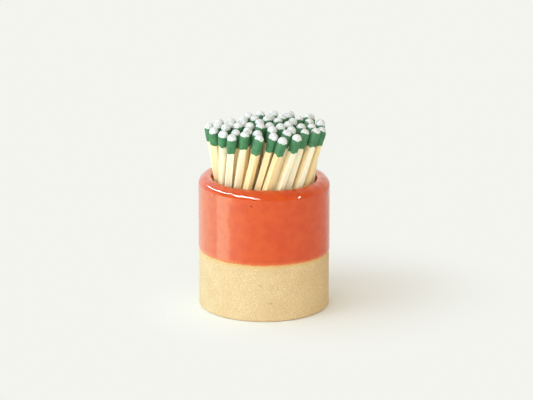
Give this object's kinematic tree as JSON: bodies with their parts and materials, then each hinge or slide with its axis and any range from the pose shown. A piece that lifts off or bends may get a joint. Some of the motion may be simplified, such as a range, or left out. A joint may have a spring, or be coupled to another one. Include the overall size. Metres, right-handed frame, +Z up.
{
  "type": "match striker",
  "caption": "Small round stoneware match striker: glazed above, bare clay below to strike on, with kitchen matches leaning in its bore.",
  "frame": {"origin": "centre of the base, on the table", "axes": "+Z up along the pot's axis, -Y towards the front of the picture, +X to its right"},
  "size_m": [0.046, 0.046, 0.069],
  "materials": {
    "pot": "glossy",
    "match": "matte"
  },
  "bodies": {
    "root": {"pot": "pot", "match_01": "match", "match_02": "match", "match_03": "match", "match_04": "match", "match_05": "match", "match_06": "match", "match_07": "match", "match_08": "match", "match_09": "match", "match_10": "match", "match_11": "match", "match_12": "match", "match_13": "match", "match_14": "match", "match_15": "match", "match_16": "match", "match_17": "match", "match_18": "match", "match_19": "match", "match_20": "match", "match_21": "match", "match_22": "match", "match_23": "match", "match_24": "match", "match_25": "match", "match_26": "match", "match_27": "match", "match_28": "match", "match_29": "match", "match_30": "match", "match_31": "match", "match_32": "match", "match_33": "match", "match_34": "match", "match_35": "match", "match_36": "match", "match_37": "match", "match_38": "match", "match_39": "match", "match_40": "match", "match_41": "match", "match_42": "match", "match_43": "match", "match_44": "match", "match_45": "match", "match_46": "match", "match_47": "match", "match_48": "match", "match_49": "match", "match_50": "match", "match_51": "match"}
  },
  "joints": []
}
